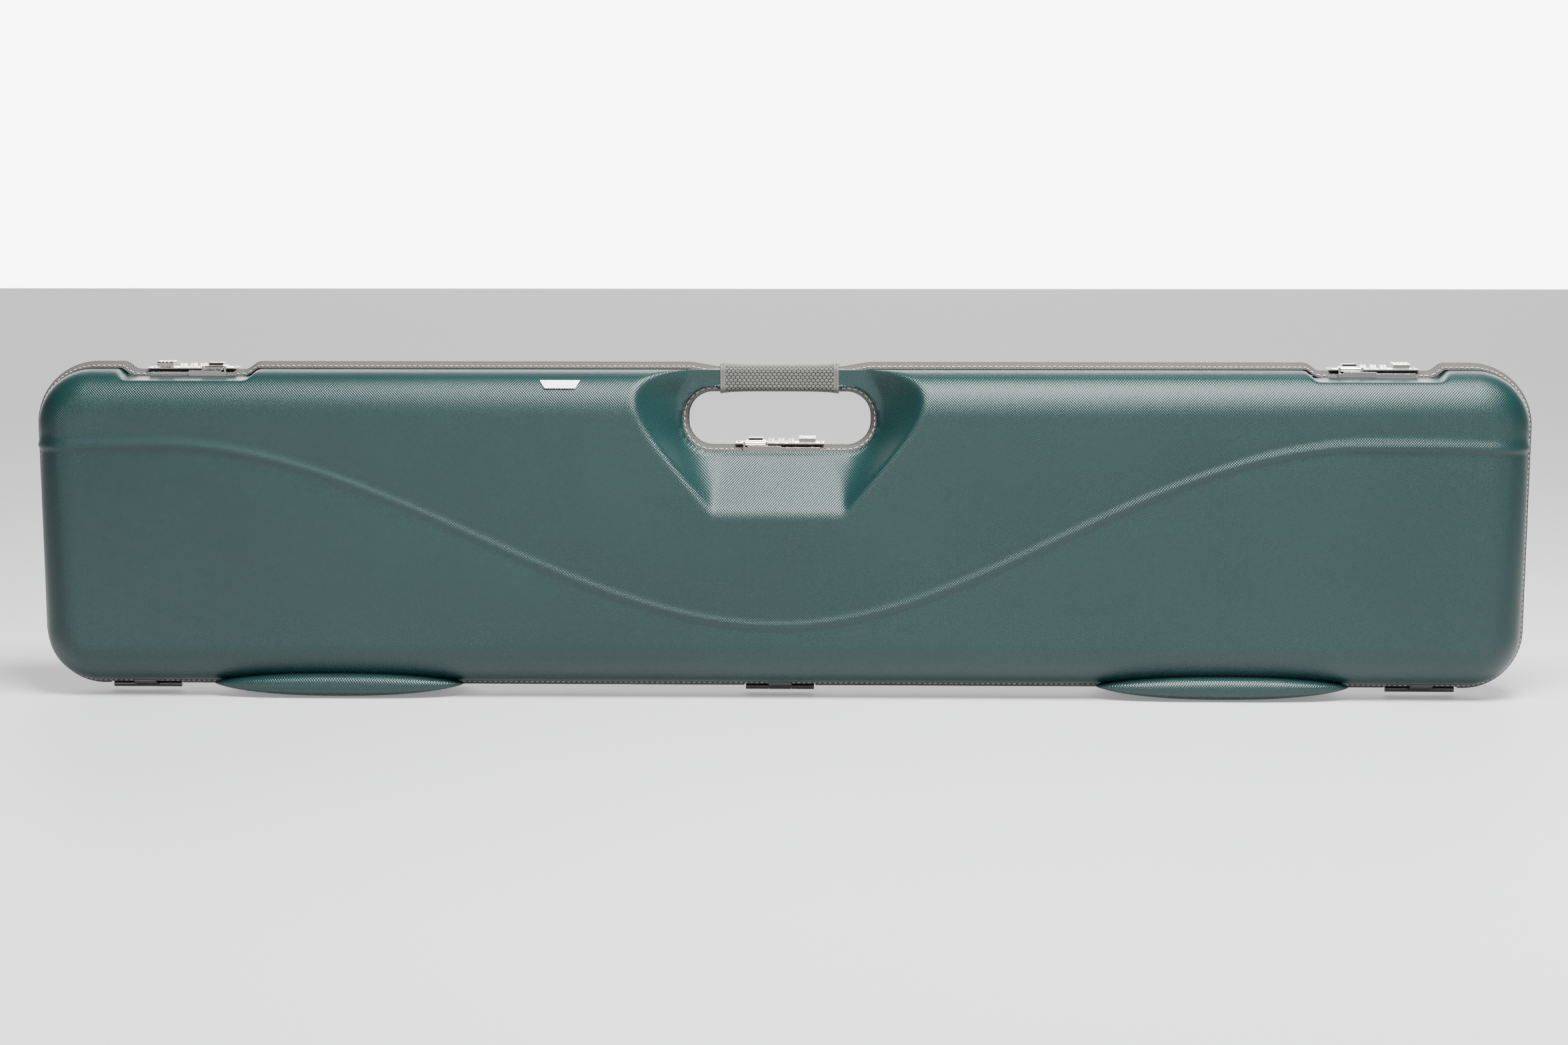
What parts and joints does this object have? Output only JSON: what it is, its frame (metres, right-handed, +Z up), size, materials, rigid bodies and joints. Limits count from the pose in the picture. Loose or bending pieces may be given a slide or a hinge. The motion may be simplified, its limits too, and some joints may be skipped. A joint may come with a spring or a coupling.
{
  "type": "long-gun travel case",
  "caption": "Long moulded clamshell case for carrying a rifle or shotgun, with foam lining, a wrapped carry handle and combination locks.",
  "frame": {"origin": "on the floor under the middle of the seam between the two shells, with the closed case standing on its feet", "axes": "+X along the case towards the right-hand lock, +Y from the lid to the base, +Z up towards the handle"},
  "size_m": [1.306, 0.114, 0.29],
  "materials": {
    "shell_plastic": "satin, embossed cross-hatch",
    "trim_leatherette": "honeycomb-embossed, stitched",
    "grip_leatherette": "honeycomb-embossed, stitched hems",
    "lining_foam": "convoluted open-cell foam",
    "strap_webbing": "woven webbing",
    "plate_white": "blank, glossy",
    "hinge_steel": "zinc plated",
    "lock_chrome": "polished",
    "wheel_plastic": "moulded, digits filled in red and black"
  },
  "bodies": {
    "lid": {"lid_shell": "shell_plastic", "lid_edge_trim": "trim_leatherette", "lid_hand_hole_trim": "trim_leatherette", "lid_grip_sleeve": "grip_leatherette", "lid_foam": "lining_foam", "name_plate": "plate_white", "lid_hinge_leaves": "hinge_steel", "left_hasp_bracket": "lock_chrome", "left_hasp_pin": "lock_chrome", "centre_hasp_bracket": "lock_chrome", "centre_hasp_pin": "lock_chrome", "right_hasp_bracket": "lock_chrome", "right_hasp_pin": "lock_chrome"},
    "base": {"base_shell": "shell_plastic", "base_edge_trim": "trim_leatherette", "base_hand_hole_trim": "trim_leatherette", "base_grip_sleeve": "grip_leatherette", "base_foam": "lining_foam", "left_strap": "strap_webbing", "right_strap": "strap_webbing", "base_hinge_leaves": "hinge_steel", "hinge_pins": "hinge_steel", "lock_rivets": "lock_chrome", "left_lock_body": "lock_chrome", "left_lock_axle": "lock_chrome", "centre_lock_body": "lock_chrome", "centre_lock_axle": "lock_chrome", "right_lock_body": "lock_chrome", "right_lock_axle": "lock_chrome"},
    "left_hasp": {"left_hasp": "lock_chrome"},
    "left_button": {"left_button": "lock_chrome", "left_bolt": "lock_chrome"},
    "left_wheel_1": {"left_wheel_1": "wheel_plastic"},
    "left_wheel_2": {"left_wheel_2": "wheel_plastic"},
    "left_wheel_3": {"left_wheel_3": "wheel_plastic"},
    "centre_hasp": {"centre_hasp": "lock_chrome"},
    "centre_button": {"centre_button": "lock_chrome", "centre_bolt": "lock_chrome"},
    "centre_wheel_1": {"centre_wheel_1": "wheel_plastic"},
    "centre_wheel_2": {"centre_wheel_2": "wheel_plastic"},
    "centre_wheel_3": {"centre_wheel_3": "wheel_plastic"},
    "right_hasp": {"right_hasp": "lock_chrome"},
    "right_button": {"right_button": "lock_chrome", "right_bolt": "lock_chrome"},
    "right_wheel_1": {"right_wheel_1": "wheel_plastic"},
    "right_wheel_2": {"right_wheel_2": "wheel_plastic"},
    "right_wheel_3": {"right_wheel_3": "wheel_plastic"}
  },
  "joints": [
    {"name": "lid_hinge", "type": "hinge", "parent": "base", "child": "lid", "pos_m": [0, 0, 0.004], "axis": [1, 0, 0], "range_deg": [0, 105]},
    {"name": "left_hasp_hinge", "type": "hinge", "parent": "lid", "child": "left_hasp", "pos_m": [-0.493, -0.0122, 0.2845], "axis": [1, 0, 0], "range_deg": [0, 110]},
    {"name": "left_button_slide", "type": "slide", "parent": "base", "child": "left_button", "axis": [-1, 0, 0], "range_m": [0, 0.003], "stiffness_N_per_m": 200},
    {"name": "left_wheel_1_spin", "type": "hinge", "parent": "base", "child": "left_wheel_1", "pos_m": [-0.5237, 0.0068, 0.2832], "axis": [1, 0, 0], "continuous": true},
    {"name": "left_wheel_2_spin", "type": "hinge", "parent": "base", "child": "left_wheel_2", "pos_m": [-0.515, 0.0068, 0.2832], "axis": [1, 0, 0], "continuous": true},
    {"name": "left_wheel_3_spin", "type": "hinge", "parent": "base", "child": "left_wheel_3", "pos_m": [-0.5063, 0.0068, 0.2832], "axis": [1, 0, 0], "continuous": true},
    {"name": "centre_hasp_hinge", "type": "hinge", "parent": "lid", "child": "centre_hasp", "pos_m": [-0.021, -0.0122, 0.2195], "axis": [1, 0, 0], "range_deg": [0, 110]},
    {"name": "centre_button_slide", "type": "slide", "parent": "base", "child": "centre_button", "axis": [1, 0, 0], "range_m": [0, 0.003], "stiffness_N_per_m": 200},
    {"name": "centre_wheel_1_spin", "type": "hinge", "parent": "base", "child": "centre_wheel_1", "pos_m": [0.0097, 0.0068, 0.2182], "axis": [1, 0, 0], "continuous": true},
    {"name": "centre_wheel_2_spin", "type": "hinge", "parent": "base", "child": "centre_wheel_2", "pos_m": [0.001, 0.0068, 0.2182], "axis": [1, 0, 0], "continuous": true},
    {"name": "centre_wheel_3_spin", "type": "hinge", "parent": "base", "child": "centre_wheel_3", "pos_m": [-0.0077, 0.0068, 0.2182], "axis": [1, 0, 0], "continuous": true},
    {"name": "right_hasp_hinge", "type": "hinge", "parent": "lid", "child": "right_hasp", "pos_m": [0.493, -0.0122, 0.2845], "axis": [1, 0, 0], "range_deg": [0, 110]},
    {"name": "right_button_slide", "type": "slide", "parent": "base", "child": "right_button", "axis": [1, 0, 0], "range_m": [0, 0.003], "stiffness_N_per_m": 200},
    {"name": "right_wheel_1_spin", "type": "hinge", "parent": "base", "child": "right_wheel_1", "pos_m": [0.5237, 0.0068, 0.2832], "axis": [1, 0, 0], "continuous": true},
    {"name": "right_wheel_2_spin", "type": "hinge", "parent": "base", "child": "right_wheel_2", "pos_m": [0.515, 0.0068, 0.2832], "axis": [1, 0, 0], "continuous": true},
    {"name": "right_wheel_3_spin", "type": "hinge", "parent": "base", "child": "right_wheel_3", "pos_m": [0.5063, 0.0068, 0.2832], "axis": [1, 0, 0], "continuous": true}
  ]
}
